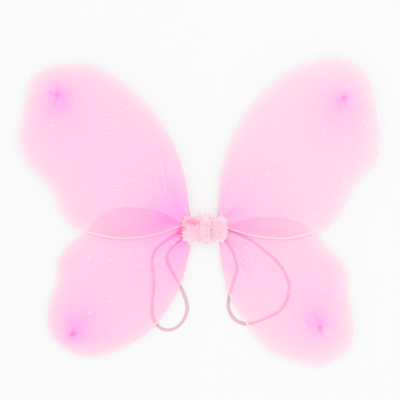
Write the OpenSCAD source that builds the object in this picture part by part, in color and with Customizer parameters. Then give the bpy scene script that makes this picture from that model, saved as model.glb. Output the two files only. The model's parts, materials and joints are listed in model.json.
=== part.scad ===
// Butterfly-style fairy wings: four sheer covers stretched over wire loops, a plush-wrapped
// centre and two elastic shoulder loops. The wings lie flat with the wearer's side down.
// X runs across the span, Y towards the top of the upper wings, Z away from the wearer.
// The origin is the middle of the band's flat back face.

/* [Wings] */
// Width of an upper wing, from its fan pivot
upper_w = 220; // [160:5:300]
// Height of an upper wing, from its fan pivot
upper_h = 215; // [160:5:300]
// Width of a lower wing, from its fan pivot
lower_w = 185; // [140:5:250]
// Depth of a lower wing, from its fan pivot
lower_h = 170; // [120:5:230]

/* [Wire and cover] */
// Diameter of the frame wire
wire_d = 2.0; // [1.4:0.1:2.6]
// Thickness of the stretched cover
film = 0.35; // [0.2:0.05:0.5]
// Clearance between wire and cover
cover_gap = 0.15; // [0.05:0.05:0.3]
// Clearance between an upper and a lower wing's root ties
stack_gap = 0.3; // [0.2:0.1:1]
// Gap under the lower wings' cover, down to the surface the band rests on
ground_gap = 4.9; // [4.6:0.1:8]

/* [Root] */
// Distance of each flap bend from the middle
flap_x = 8.6; // [8:0.2:12]
// Distance of each fan bend from the middle
fan_x = 13; // [12.4:0.2:18]
// Distance of each fan bend above or below the middle
fan_y = 3.5; // [3:0.1:5]
// Thickness of the thread tied round each gathered root
tie_t = 0.4; // [0.2:0.1:0.6]
// Width of the thread binding on each root
tie_w = 2.4; // [1.5:0.1:2.6]
// Distance between the two bends' facing wire ends, half of it on each side
bend_gap = 0.6; // [0.4:0.1:1]

/* [Plush] */
// Length of the plush wrap, across the span
plush_len = 52; // [46:1:64]
// Height of the plush wrap, along the wings' Y
plush_h = 29.2; // [26:0.2:36]
// Height of the middle turn's crown above the flap bends
crown_h = 6.4; // [4:0.2:6.6]
// Radius of the side turns' thick outer edge
turn_r = 5.4; // [4:0.2:6]
// Thickness of the side turns' back
turn_back_t = 2.2; // [1.4:0.1:2.4]
// Clearance between the plush and what lies in it
plush_gap = 0.35; // [0.2:0.05:0.6]
// Thickness of the tape round the wires in the middle
tape_t = 0.8; // [0.4:0.1:1.2]

/* [Straps] */
// Width of the flat elastic
strap_w = 5; // [4:0.5:6.5]
// Thickness of the flat elastic
strap_t = 1.2; // [0.8:0.1:1.3]

/* [Glitter] */
// Width of the glitter glue lines
line_w = 2.0; // [0.8:0.1:2.2]
// Height of the glitter glue above the cover
glitter_h = 0.3; // [0.2:0.05:0.4]
// Radius of the glitter dots
dot_r = 1.9; // [0.8:0.1:2.4]

/* [Hidden] */
$fn = 32;

// Thickness of a covered wing, and the half height that a root tie adds to it
wing_t = wire_d + 2 * cover_gap + 2 * film;
tie_slack = 0.05;
tie_half = wing_t / 2 + tie_slack + tie_t;

// Heights of the lower and upper wings' wires, and of the flap bends
lower_z = ground_gap + wing_t / 2;
upper_z = lower_z + tie_half + wing_t / 2 + stack_gap + tie_t;
flap_z = upper_z + wing_t / 2;

// Half distance between the two wires in a wing's neck, and the neck's half width outside
wire_pitch = wire_d / 2 + cover_gap;
rim_inset = film + cover_gap + wire_d / 2;
neck_half = wire_pitch + rim_inset;
// Places along the neck, counted from the fan bend: the curve's knots
neck_knots = [0, 3, 6, 8.5];
neck_angle_up = 42;
neck_angle_down = -25;

// Number of straight steps between two knots of an outline, and how many of them the wire
// stops short of the fan bend
steps = 4;
bare_steps = 2;
wire_sides = 8;

// Distance that the wire ends in the root stop short of the fan bend
fan_gap = bend_gap + 0.4;

// Place of the root's thread along the neck, and the radius of its corners
tie_start = 0.3;
tie_corner_r = 1.2;

// Outlines of the wings from the root's lower or upper edge, out round the tip and back.
// They are drawn for upper wings of 220 by 215 and lower wings of 185 by 170.
upper_draw = [220, 215];
lower_draw = [185, 170];
upper_left_rim = [
    [17, 0], [52, -12], [94, -17], [130, -11], [157, -3], [174, 17], [190, 49], [219, 80],
    [229, 105], [228, 130], [221, 165], [208, 198], [170, 211], [122, 206], [69, 167],
    [34, 120], [15, 72], [8, 30], [6, 15]
];
upper_right_rim = [
    [18, -4], [52, -14], [92, -17], [124, -10], [145, -4], [165, 19], [180, 49], [209, 82],
    [215, 105], [214, 130], [207, 170], [192, 206], [152, 220], [100, 206], [53, 167],
    [24, 120], [8, 72], [4, 34], [3, 16]
];
lower_left_rim = [
    [15, 8], [39, 24], [68, 31], [98, 31], [123, 21], [140, 2], [159, -12], [178, -33],
    [182, -68], [193, -103], [187, -138], [150, -162], [110, -159], [60, -131],
    [24, -81], [9, -34], [6, -16]
];
lower_right_rim = [
    [15, 7], [38, 16], [80, 18], [111, 12], [132, -4], [149, -22], [172, -48], [175, -84],
    [181, -118], [176, -153], [139, -175], [100, -169], [62, -147], [22, -91],
    [10, -50], [6, -20]
];

// Places of the knots that close the covers, in the wings' own frames
upper_left_knot = [179, 171];
upper_right_knot = [167, 167];
lower_left_knot = [159, -133];
lower_right_knot = [137, -125];
knot_r = 2.2;
knot_h = 1;
tip_tie_t = 0.8;
tip_tie_gap = 0.1;

// Glitter glue swirls: centre, outer radius, number of turns, and the tail towards the root
swirl_r_in = 2.5;
swirl_step = 24;
swirl_lead = 45;
upper_left_motif = [
    [[112, 134], 17, 2.5, [[86, 147], [70, 133], [55, 113], [46, 91], [42, 66], [38, 43]]],
    [[114, 90], 12.5, 2.5, [[95, 104], [80, 100], [66, 87], [54, 67], [43, 48]]],
    [[101, 43], 14, 2.5, [[88, 62], [73, 58], [56, 48], [41, 42]]]
];
upper_right_motif = [
    [[125, 121], 17, 2.5, [[102, 140], [77, 129], [57, 104], [43, 74], [36, 47]]],
    [[119, 72], 11.5, 2.5, [[100, 84], [80, 84], [62, 78], [50, 62], [41, 47]]],
    [[99, 31], 13, 2.5, [[86, 48], [72, 50], [56, 49], [43, 44]]]
];
lower_left_motif = [
    [[79, -24], 9, 2, [[78, -42], [62, -43], [46, -34], [31, -22]]],
    [[113, -80], 16, 2.5, [[96, -95], [80, -85], [60, -64], [43, -41], [31, -26]]]
];
lower_right_motif = [
    [[88, -48], 7, 1.5, [[77, -57], [62, -53], [45, -38], [32, -27], [22, -17]]],
    [[102, -89], 14, 2.5, [[84, -102], [66, -92], [48, -74], [34, -50], [23, -24]]]
];

// Glitter glue dots
upper_left_spots = [
    [155, 159], [181, 149], [168, 142], [186, 131], [146, 133], [163, 116], [137, 117],
    [146, 105], [166, 90], [155, 84], [146, 71], [146, 50], [67, 72], [65, 33], [87, 168]
];
upper_right_spots = [
    [194, 136], [182, 123], [160, 121], [176, 112], [187, 104], [174, 99], [143, 84],
    [151, 88], [159, 80], [144, 61], [166, 63], [124, 45], [138, 45], [129, 36],
    [134, 28], [120, 18], [131, 15], [68, 66], [98, -4], [111, 2]
];
lower_left_spots = [
    [143, -58], [144, -80], [137, -106], [124, -40], [111, -37], [159, -36], [149, -44],
    [133, -17], [126, -27], [160, -25], [138, -34], [136, -68], [22, -10], [28, -15]
];
lower_right_spots = [
    [33, -9], [40, -20], [116, -123], [165, -100], [150, -62], [140, -75], [128, -58],
    [154, -86]
];

// Routes of the shoulder loops' middle lines on the surface, from the band's side and back
strap_lift = 0.1;
strap_z = strap_t / 2 + strap_lift;
strap_exit = flap_x - bend_gap / 2;
left_strap_route = [
    [-strap_exit, 3], [-12, 3], [-20, 1], [-29, -2.5], [-41, -9], [-54, -18], [-65, -28],
    [-69, -42], [-67, -60], [-67, -80], [-69, -98], [-68, -114], [-61, -127], [-49, -132],
    [-36, -128], [-27, -117], [-23, -102], [-28, -84], [-37, -66], [-46, -50], [-50, -37],
    [-44, -26], [-34, -17], [-25, -11], [-18, -8], [-12, -7], [-strap_exit, -7]
];
right_strap_route = [
    [strap_exit, 3], [12, 3], [20, 1], [29, -1.5], [44, -7], [60, -15], [76, -27],
    [92, -41], [104, -57], [110, -76], [106, -95], [95, -109], [76, -118], [56, -124],
    [40, -119], [31, -104], [32, -86], [38, -67], [42, -50], [38, -34], [31, -21],
    [24, -12], [18, -8], [12, -7], [strap_exit, -7]
];
strap_steps = 3;
strap_sides = 8;

// ---- Curves -------------------------------------------------------------------------

function spline_point(a, b, c, d, t) =
    0.5 * (2 * b + (c - a) * t + (2 * a - 5 * b + 4 * c - d) * t * t
    + (3 * b - a - 3 * c + d) * t * t * t);

// A smooth open curve through the knots
function spline(knots, n) = [
    for (i = [0 : len(knots) - 2]) for (k = [0 : n - 1])
        spline_point(knots[max(i - 1, 0)], knots[i], knots[i + 1],
            knots[min(i + 2, len(knots) - 1)], k / n),
    knots[len(knots) - 1]
];

function unit(v) = v / norm(v);
function heading(path, i) = unit(path[min(i + 1, len(path) - 1)] - path[max(i - 1, 0)]);
function left_of(v) = [-v[1], v[0]];

// The path moved sideways, to the left of its direction when d is above zero
function beside(path, d) =
    [for (i = [0 : len(path) - 1]) path[i] + d * left_of(heading(path, i))];

function reversed(path) = [for (i = [len(path) - 1 : -1 : 0]) path[i]];
function slice(path, from, to) = [for (i = [from : to]) path[i]];

// Points of a drawing stretched to the wing's size; grow is [across, up]
function sized(points, grow) = [for (p = points) [p[0] * grow[0], p[1] * grow[1]]];

// The whole rim of a cover, from one side of the neck round the wing to the other side
function rim(points, grow, angle) =
    let (
        along = [cos(angle), sin(angle)],
        stretched = sized(points, grow),
        side = stretched[0] * left_of(along) > 0 ? 1 : -1,
        start = [for (s = neck_knots) s * along + side * neck_half * left_of(along)],
        finish = [for (s = neck_knots) s * along - side * neck_half * left_of(along)]
    )
    spline(concat(start, stretched, reversed(finish)), steps);

// A spiral that winds outwards from its centre, then runs on along the tail
function swirl(s, hand, grow) =
    let (
        centre = sized([s[0]], grow)[0],
        tail = sized(s[3], grow),
        out = tail[0] - centre,
        end = atan2(out[1], out[0]) - hand * swirl_lead,
        count = floor(s[2] * 360 / swirl_step),
        turn = [for (i = [0 : count])
            let (a = end - hand * (count - i) * swirl_step,
                r = swirl_r_in + (s[1] - swirl_r_in) * i / count)
            centre + r * [cos(a), sin(a)]]
    )
    spline(concat(turn, tail), 3);

// ---- Shared shapes ------------------------------------------------------------------

// A tube of any section swept along a level path; the section is a list of [sideways, up]
module swept(path, z, section) {
    n = len(section);
    last = len(path) - 1;
    points = [for (i = [0 : last]) for (c = section)
        let (p = path[i] + c[0] * left_of(heading(path, i))) [p[0], p[1], z + c[1]]];
    walls = [for (i = [0 : last - 1]) for (k = [0 : n - 1])
        [i * n + k, (i + 1) * n + k, (i + 1) * n + (k + 1) % n, i * n + (k + 1) % n]];
    ends = [[for (k = [0 : n - 1]) k], [for (k = [n - 1 : -1 : 0]) last * n + k]];
    polyhedron(points, concat(walls, ends), convexity = 10);
}

// A round section with flat sides above and below
function round_section(r) = [for (k = [0 : wire_sides - 1])
    let (a = 360 * (k + 0.5) / wire_sides) r * [cos(a), sin(a)]];

module sheet_outline(path, z, t) {
    translate([0, 0, z - t / 2]) linear_extrude(t) polygon(path);
}

// A rectangle with round corners, centred on the origin
module rounded_rect(w, h, r) {
    square([w - 2 * r, h], center = true);
    square([w, h - 2 * r], center = true);
    for (x = [-1, 1], y = [-1, 1])
        translate([x * (w / 2 - r), y * (h / 2 - r)]) circle(r);
}

// Puts a wing's own frame at its fan bend; side is -1 on the left, up is -1 on a lower wing
module at_fan(side, up) {
    translate([side * fan_x, up * fan_y, up > 0 ? upper_z : lower_z])
        if (side < 0) mirror([1, 0, 0]) children();
        else children();
}

// ---- Wing pieces, in a wing's own frame ---------------------------------------------

module wing_wire(edge) {
    line = beside(edge, edge_side(edge) * rim_inset);
    last = len(line) - 1;
    swept(slice(line, bare_steps, last - bare_steps), 0, round_section(wire_d / 2));
}

// Tells on which side of its rim a wing lies
function edge_side(edge) =
    let (n = len(edge), area = [for (i = [0 : n - 1])
        let (a = edge[i], b = edge[(i + 1) % n]) a[0] * b[1] - b[0] * a[1]])
    area * [for (i = [0 : n - 1]) 1] > 0 ? 1 : -1;

module wing_cover(edge, knot) {
    hollow_t = wing_t - 2 * film;
    inside = beside(edge, edge_side(edge) * film);
    last = len(edge) - 1;
    // The hollow runs straight out through the mouth, which the cover's own end leaves open
    hollow = concat([inside[0]], slice(inside, steps + 1, last - steps - 1), [inside[last]]);
    difference() {
        sheet_outline(slice(edge, steps, last - steps), 0, wing_t);
        sheet_outline(hollow, 0, hollow_t);
    }
    translate([knot[0], knot[1], (film - wing_t) / 2]) cylinder(h = film / 2 + knot_h, r = knot_r);
}

// Thread wound round the gathered root
module root_tie(angle) {
    inner_w = 2 * (neck_half + tie_slack);
    inner_h = wing_t + 2 * tie_slack;
    rotate([0, 0, angle]) translate([neck_knots[1] + tie_start, 0, 0]) rotate([90, 0, 90])
        linear_extrude(tie_w) difference() {
            rounded_rect(inner_w + 2 * tie_t, inner_h + 2 * tie_t, tie_corner_r);
            square([inner_w, inner_h], center = true);
        }
}

// Thread wound round the knotted end of the cover, inside the wing
module tip_tie(knot) {
    height = knot_h - 2 * tip_tie_gap;
    translate([knot[0], knot[1], film - wing_t / 2 + tip_tie_gap]) difference() {
        cylinder(h = height, r = knot_r + tip_tie_t);
        translate([0, 0, -height]) cylinder(h = 3 * height, r = knot_r + tie_slack);
    }
}

module glitter_lines(swirls, hand, grow) {
    for (s = swirls) {
        path = swirl(s, hand, grow);
        translate([0, 0, wing_t / 2]) linear_extrude(glitter_h)
            polygon(concat(beside(path, line_w / 2), reversed(beside(path, -line_w / 2))));
    }
}

module glitter_spots(spots, grow) {
    for (p = sized(spots, grow))
        translate([p[0], p[1], wing_t / 2]) cylinder(h = glitter_h, r = dot_r);
}

// ---- The four wings -----------------------------------------------------------------

upper_grow = [upper_w / upper_draw[0], upper_h / upper_draw[1]];
lower_grow = [lower_w / lower_draw[0], lower_h / lower_draw[1]];
upper_left_edge = rim(upper_left_rim, upper_grow, neck_angle_up);
upper_right_edge = rim(upper_right_rim, upper_grow, neck_angle_up);
lower_left_edge = rim(lower_left_rim, lower_grow, neck_angle_down);
lower_right_edge = rim(lower_right_rim, lower_grow, neck_angle_down);
upper_left_tip = sized([upper_left_knot], upper_grow)[0];
upper_right_tip = sized([upper_right_knot], upper_grow)[0];
lower_left_tip = sized([lower_left_knot], lower_grow)[0];
lower_right_tip = sized([lower_right_knot], lower_grow)[0];

wire_colour = "#f3e6ee";
cover_colour = "#ffb3ea";
thread_colour = "#f07ac8";
glitter_colour = "#ffe3f8";
plush_colour = "#ffb9d0";
tape_colour = "#f6c9d8";
elastic_colour = "#c98aa0";

module upper_left_wire() { color(wire_colour) at_fan(-1, 1) wing_wire(upper_left_edge); }
module upper_right_wire() { color(wire_colour) at_fan(1, 1) wing_wire(upper_right_edge); }
module lower_left_wire() { color(wire_colour) at_fan(-1, -1) wing_wire(lower_left_edge); }
module lower_right_wire() { color(wire_colour) at_fan(1, -1) wing_wire(lower_right_edge); }

module upper_left_cover() {
    color(cover_colour) at_fan(-1, 1) wing_cover(upper_left_edge, upper_left_tip);
}
module upper_right_cover() {
    color(cover_colour) at_fan(1, 1) wing_cover(upper_right_edge, upper_right_tip);
}
module lower_left_cover() {
    color(cover_colour) at_fan(-1, -1) wing_cover(lower_left_edge, lower_left_tip);
}
module lower_right_cover() {
    color(cover_colour) at_fan(1, -1) wing_cover(lower_right_edge, lower_right_tip);
}

module upper_left_root_tie() { color(thread_colour) at_fan(-1, 1) root_tie(neck_angle_up); }
module upper_right_root_tie() { color(thread_colour) at_fan(1, 1) root_tie(neck_angle_up); }
module lower_left_root_tie() { color(thread_colour) at_fan(-1, -1) root_tie(neck_angle_down); }
module lower_right_root_tie() { color(thread_colour) at_fan(1, -1) root_tie(neck_angle_down); }

module upper_left_tip_tie() { color(thread_colour) at_fan(-1, 1) tip_tie(upper_left_tip); }
module upper_right_tip_tie() { color(thread_colour) at_fan(1, 1) tip_tie(upper_right_tip); }
module lower_left_tip_tie() { color(thread_colour) at_fan(-1, -1) tip_tie(lower_left_tip); }
module lower_right_tip_tie() { color(thread_colour) at_fan(1, -1) tip_tie(lower_right_tip); }

module upper_left_swirls() {
    color(glitter_colour) at_fan(-1, 1) glitter_lines(upper_left_motif, 1, upper_grow);
}
module upper_right_swirls() {
    color(glitter_colour) at_fan(1, 1) glitter_lines(upper_right_motif, 1, upper_grow);
}
module lower_left_swirls() {
    color(glitter_colour) at_fan(-1, -1) glitter_lines(lower_left_motif, -1, lower_grow);
}
module lower_right_swirls() {
    color(glitter_colour) at_fan(1, -1) glitter_lines(lower_right_motif, -1, lower_grow);
}

module upper_left_dots() {
    color(glitter_colour) at_fan(-1, 1) glitter_spots(upper_left_spots, upper_grow);
}
module upper_right_dots() {
    color(glitter_colour) at_fan(1, 1) glitter_spots(upper_right_spots, upper_grow);
}
module lower_left_dots() {
    color(glitter_colour) at_fan(-1, -1) glitter_spots(lower_left_spots, lower_grow);
}
module lower_right_dots() {
    color(glitter_colour) at_fan(1, -1) glitter_spots(lower_right_spots, lower_grow);
}

// ---- Root and centre ----------------------------------------------------------------

// A pair of wire ends side by side along X, on the upper and on the lower wings' level
module wire_pairs(from, to) {
    for (level = [[upper_z, fan_y], [lower_z, -fan_y]], side = [-1, 1])
        translate([from, level[1] + side * wire_pitch, level[0]])
            rotate([0, 90, 0]) cylinder(h = to - from, d = wire_d);
}

// The wire ends between a side's flap bend and its fan bends
module side_wire_ends() {
    wire_pairs(flap_x + bend_gap / 2, fan_x - fan_gap);
}

module right_wire_ends() { color(wire_colour) side_wire_ends(); }
module left_wire_ends() { color(wire_colour) mirror([1, 0, 0]) side_wire_ends(); }

module centre_wires() {
    color(wire_colour) wire_pairs(-flap_x + bend_gap / 2, flap_x - bend_gap / 2);
}

// Tape wound round the four wires in the middle
tape_slack = 0.1;
tape_in_w = 2 * (fan_y + wire_pitch + wire_d / 2 + tape_slack);
tape_in_h = upper_z - lower_z + wire_d + 2 * tape_slack;
tape_z = (upper_z + lower_z) / 2;
tape_len = 10.4;
tape_r = 1.2;
tunnel_r = 2;

module binding_tape() {
    color(tape_colour)
        translate([-tape_len / 2, 0, tape_z]) rotate([90, 0, 90]) linear_extrude(tape_len)
            difference() {
                rounded_rect(tape_in_w + 2 * tape_t, tape_in_h + 2 * tape_t, tape_r + tape_t);
                rounded_rect(tape_in_w, tape_in_h, tape_r);
            }
}

// The plush strip's middle turn: a band round the tape, with a crown over it
band_len = 2 * (flap_x - bend_gap / 2);
band_r = 4;
crown_r = 6;

// The side turns: their hem along the flap bend, the lift of their lobe's round edge, the
// corners of their back, and the webs that join lobe and back
hem_r = 1.2;
hem_in = 3;
lobe_lift = 0.5;
back_r = 4;
web_t = 0.9;
web_w = 3;
web_y = 9.2;
web_sink = 0.6;

module plush_band() {
    tunnel_w = tape_in_w + 2 * tape_t + 2 * plush_gap;
    tunnel_h = tape_in_h + 2 * tape_t + 2 * plush_gap;
    color(plush_colour) difference() {
        union() {
            translate([-band_len / 2, 0, flap_z / 2]) rotate([90, 0, 90])
                linear_extrude(band_len) rounded_rect(plush_h, flap_z, band_r);
            crown();
        }
        translate([-band_len, 0, tape_z]) rotate([90, 0, 90])
            linear_extrude(2 * band_len) rounded_rect(tunnel_w, tunnel_h, tunnel_r);
    }
}

module crown() {
    reach = plush_h / 2 - crown_r;
    translate([0, 0, flap_z + crown_h - crown_r]) {
        rotate([90, 0, 0]) cylinder(h = 2 * reach, r = crown_r, center = true);
        for (y = [-1, 1]) translate([0, y * reach, 0]) sphere(crown_r);
    }
}

// One side turn of the plush strip: a thick lobe over the wing roots, a flat back under
// them, and webs by the flap bend that join the two
module side_plush_turn() {
    inner = flap_x + bend_gap / 2;
    outer = plush_len / 2;
    over = upper_z + tie_half + plush_gap;
    under = lower_z - tie_half - plush_gap;
    reach = plush_h / 2 - turn_r;
    difference() {
        hull() {
            for (y = [-1, 1]) {
                translate([outer - turn_r, y * reach, over + lobe_lift]) sphere(turn_r);
                translate([inner + hem_r, y * (plush_h / 2 - hem_in), over + lobe_lift])
                    sphere(hem_r);
            }
        }
        translate([0, -plush_h, over - plush_h]) cube([plush_len, 2 * plush_h, plush_h]);
        translate([0, -plush_h, 0]) cube([inner, 2 * plush_h, 4 * over]);
    }
    translate([(inner + outer) / 2, 0, under - turn_back_t]) linear_extrude(turn_back_t)
        rounded_rect(outer - inner, plush_h, back_r);
    for (y = [-1, 1]) translate([inner, y * web_y - web_w / 2, under - turn_back_t])
        cube([web_t, web_w, over - under + turn_back_t + web_sink]);
}

module right_plush_turn() { color(plush_colour) side_plush_turn(); }
module left_plush_turn() { color(plush_colour) mirror([1, 0, 0]) side_plush_turn(); }

// ---- Shoulder loops -----------------------------------------------------------------

// The flat elastic's section, with round edges
module strap(route) {
    flat = strap_w / 2 - strap_t / 2;
    section = [for (k = [0 : strap_sides - 1])
        let (a = 360 * (k + 0.5) / strap_sides)
        [sign(cos(a)) * flat + cos(a) * strap_t / 2, sin(a) * strap_t / 2]];
    swept(spline(route, strap_steps), strap_z, section);
}

module left_strap() { color(elastic_colour) strap(left_strap_route); }
module right_strap() { color(elastic_colour) strap(right_strap_route); }

upper_left_wire();
upper_left_cover();
upper_left_root_tie();
upper_left_tip_tie();
upper_left_swirls();
upper_left_dots();
upper_right_wire();
upper_right_cover();
upper_right_root_tie();
upper_right_tip_tie();
upper_right_swirls();
upper_right_dots();
lower_left_wire();
lower_left_cover();
lower_left_root_tie();
lower_left_tip_tie();
lower_left_swirls();
lower_left_dots();
lower_right_wire();
lower_right_cover();
lower_right_root_tie();
lower_right_tip_tie();
lower_right_swirls();
lower_right_dots();
left_wire_ends();
right_wire_ends();
left_plush_turn();
right_plush_turn();
centre_wires();
binding_tape();
plush_band();
left_strap();
right_strap();
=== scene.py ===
"""Fairy wings laid flat with the wearer's side down: four sheer nylon covers stretched over
wire loops, glitter glue swirls and dots, a plush-wrapped centre and two elastic shoulder loops."""

import json
import math
from contextlib import contextmanager

import bpy
import numpy as np
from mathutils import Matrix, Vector
from mathutils.bvhtree import BVHTree


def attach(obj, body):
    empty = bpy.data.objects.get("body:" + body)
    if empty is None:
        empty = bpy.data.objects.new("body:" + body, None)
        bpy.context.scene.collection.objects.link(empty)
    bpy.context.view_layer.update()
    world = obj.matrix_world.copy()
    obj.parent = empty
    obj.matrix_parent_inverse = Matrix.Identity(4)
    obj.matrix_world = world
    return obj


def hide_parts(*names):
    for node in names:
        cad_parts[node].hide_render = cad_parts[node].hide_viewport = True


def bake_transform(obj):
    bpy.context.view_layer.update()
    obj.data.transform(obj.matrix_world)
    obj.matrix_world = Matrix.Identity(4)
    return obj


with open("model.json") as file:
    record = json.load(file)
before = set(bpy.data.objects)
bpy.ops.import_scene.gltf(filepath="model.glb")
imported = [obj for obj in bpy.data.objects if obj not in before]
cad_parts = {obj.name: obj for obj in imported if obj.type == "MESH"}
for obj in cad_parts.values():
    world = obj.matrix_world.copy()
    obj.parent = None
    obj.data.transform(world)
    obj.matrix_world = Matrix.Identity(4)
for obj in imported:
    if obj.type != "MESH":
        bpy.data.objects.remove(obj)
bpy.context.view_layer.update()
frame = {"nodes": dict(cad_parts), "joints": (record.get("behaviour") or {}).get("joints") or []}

# Sizes and places below are in millimetres; MM turns them into the scene's metres.
MM = 0.001
PIVOT = {joint["name"]: np.array(joint["pos_m"]) / MM for joint in frame["joints"]}


def metres(point):
    """A point in millimetres as three plain numbers in metres."""
    return tuple(float(v) for v in np.asarray(point) * MM)


# ---- Sizes ----

WIRE_R = 1.0
# From the middle of the wire to the outside of its cover
COVER_R = 1.5
# A wing's neck: its half width, the knots along it and the way it points, upper and lower
NECK_HALF = 2.65
NECK_KNOTS = [0, 3, 6, 8.5]
NECK_ANGLE = {1: 42, -1: -25}
# Half distance between the two wires of a neck, and how far wires stop short of their bends
WIRE_PITCH = 1.15
BEND_GAP = 0.5
FAN_GAP = 1.2
# How far into the neck the bend of its wires reaches
BEND_REACH = 2.2
FLAP_X = PIVOT["right_flap"][0]
GLUE_R = 1.0
DOT_R = 1.9
DOT_RISE = 0.3
# The elastic, and the height of its middle above the floor
STRAP_W = 5.0
STRAP_T = 1.2
STRAP_Z = 0.7

# Each wing's rim, knot, glitter swirls and dots, in the wing's own frame: x runs outwards and
# y upwards from the fan bend. A swirl is its centre, outer radius, turns and tail. Crush is
# where the cover is bunched together: place, width and depth. The lower wings' last value is
# painted light: how much thinner and paler their cover is made where an upper wing lies over it.
UPPER_LEFT = {
    "rim": [
        [17, 0], [52, -12], [94, -17], [130, -11], [157, -3], [174, 17], [190, 49], [219, 80],
        [229, 105], [228, 130], [221, 165], [208, 198], [170, 211], [122, 206], [69, 167],
        [34, 120], [15, 72], [8, 30], [6, 15],
    ],
    "knot": [179, 171],
    "swirls": [
        [[112, 134], 17, 2.5, [[86, 147], [70, 133], [55, 113], [46, 91], [42, 66], [38, 43]]],
        [[114, 90], 12.5, 2.5, [[95, 104], [80, 100], [66, 87], [54, 67], [43, 48]]],
        [[101, 43], 14, 2.5, [[88, 62], [73, 58], [56, 48], [41, 42]]],
    ],
    "dots": [
        [155, 159], [181, 149], [168, 142], [186, 131], [146, 133], [163, 116], [137, 117],
        [146, 105], [166, 90], [155, 84], [146, 71], [146, 50], [67, 72], [65, 33], [87, 168],
    ],
}
UPPER_RIGHT = {
    "rim": [
        [18, -4], [52, -14], [92, -17], [124, -10], [145, -4], [165, 19], [180, 49], [209, 82],
        [215, 105], [214, 130], [207, 170], [192, 206], [152, 220], [100, 206], [53, 167],
        [24, 120], [8, 72], [4, 34], [3, 16],
    ],
    "knot": [167, 167],
    "swirls": [
        [[125, 121], 17, 2.5, [[102, 140], [77, 129], [57, 104], [43, 74], [36, 47]]],
        [[119, 72], 11.5, 2.5, [[100, 84], [80, 84], [62, 78], [50, 62], [41, 47]]],
        [[99, 31], 13, 2.5, [[86, 48], [72, 50], [56, 49], [43, 44]]],
    ],
    "dots": [
        [194, 136], [182, 123], [160, 121], [176, 112], [187, 104], [174, 99], [143, 84],
        [151, 88], [159, 80], [144, 61], [166, 63], [124, 45], [138, 45], [129, 36],
        [134, 28], [120, 18], [131, 15], [68, 66], [98, -4], [111, 2],
    ],
}
LOWER_LEFT = {
    "rim": [
        [15, 8], [39, 24], [68, 31], [98, 31], [123, 21], [140, 2], [159, -12], [178, -33],
        [182, -68], [193, -103], [187, -138], [150, -162], [110, -159], [60, -131],
        [24, -81], [9, -34], [6, -16],
    ],
    "knot": [159, -133],
    "swirls": [
        [[79, -24], 9, 2, [[78, -42], [62, -43], [46, -34], [31, -22]]],
        [[113, -80], 16, 2.5, [[96, -95], [80, -85], [60, -64], [43, -41], [31, -26]]],
    ],
    "dots": [
        [143, -58], [144, -80], [137, -106], [124, -40], [111, -37], [159, -36], [149, -44],
        [133, -17], [126, -27], [160, -25], [138, -34], [136, -68], [22, -10], [28, -15],
    ],
    "crush": [[17.5, 0, 6, 1.0], [159, -133, 4.5, 0.25]],
    "overlap_lightening": 0.6,
}
LOWER_RIGHT = {
    "rim": [
        [15, 7], [38, 16], [80, 18], [111, 12], [132, -4], [149, -22], [172, -48], [175, -84],
        [181, -118], [176, -153], [139, -175], [100, -169], [62, -147], [22, -91],
        [10, -50], [6, -20],
    ],
    "knot": [137, -125],
    "swirls": [
        [[88, -48], 7, 1.5, [[77, -57], [62, -53], [45, -38], [32, -27], [22, -17]]],
        [[102, -89], 14, 2.5, [[84, -102], [66, -92], [48, -74], [34, -50], [23, -24]]],
    ],
    "dots": [
        [33, -9], [40, -20], [116, -123], [165, -100], [150, -62], [140, -75], [128, -58],
        [154, -86],
    ],
    "overlap_lightening": 0.45,
}

# Routes of the shoulder loops' middle lines
LEFT_ROUTE = [
    [-8.3, 3], [-12, 3], [-20, 1], [-29, -2.5], [-41, -9], [-54, -18], [-65, -28],
    [-69, -42], [-67, -60], [-67, -80], [-69, -98], [-68, -114], [-61, -127], [-49, -132],
    [-36, -128], [-27, -117],
    [-23, -102], [-28, -84], [-37, -66], [-46, -50], [-50, -37], [-44, -26], [-34, -17],
    [-25, -11], [-18, -8], [-12, -7], [-8.3, -7],
]
RIGHT_ROUTE = [
    [8.3, 3], [12, 3], [20, 1], [29, -1.5], [44, -7], [60, -15], [76, -27],
    [92, -41], [104, -57], [110, -76], [106, -95], [95, -109], [76, -118], [56, -124],
    [40, -119], [31, -104],
    [32, -86], [38, -67], [42, -50], [38, -34], [31, -21], [24, -12], [18, -8],
    [12, -7], [8.3, -7],
]


# ---- Curves ----


def spline(knots, count):
    """A smooth open curve through the knots, with count steps between two of them."""
    knots = np.array(knots, float)
    padded = np.vstack([knots[:1], knots, knots[-1:]])
    t = (np.arange(count) / count)[:, None]
    parts = []
    for a, b, c, d in zip(padded, padded[1:], padded[2:], padded[3:]):
        bend = (2 * a - 5 * b + 4 * c - d) * t ** 2 + (3 * b - a - 3 * c + d) * t ** 3
        parts.append(0.5 * (2 * b + (c - a) * t + bend))
    return np.vstack(parts + [knots[-1:]])


def lengths(path):
    """Distance along the path to each of its points."""
    return np.concatenate([[0], np.cumsum(np.linalg.norm(np.diff(path, axis=0), axis=1))])


def resampled(path, spacing):
    """The same path with points spaced as asked; spacing is a number or one for each point."""
    along = lengths(path)
    pace = np.broadcast_to(1 / np.asarray(spacing, float), len(path))
    steps = np.diff(along) * (pace[1:] + pace[:-1]) / 2
    counted = np.concatenate([[0], np.cumsum(steps)])
    wanted = np.linspace(0, counted[-1], int(round(counted[-1])) + 1)
    places = np.interp(wanted, counted, along)
    return np.stack([np.interp(places, along, column) for column in path.T], axis=1)


def unit(directions):
    return directions / np.linalg.norm(directions, axis=1, keepdims=True)


def headings(path):
    """Unit direction of the path at each of its points."""
    return unit(np.gradient(path, axis=0))


def left_of(direction):
    return np.stack([-direction[..., 1], direction[..., 0]], axis=-1)


def area_of(path):
    """Area inside a closed path, above 0 when the path runs anticlockwise."""
    following = np.roll(path, -1, axis=0)
    return np.sum(path[:, 0] * following[:, 1] - following[:, 0] * path[:, 1]) / 2


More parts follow.
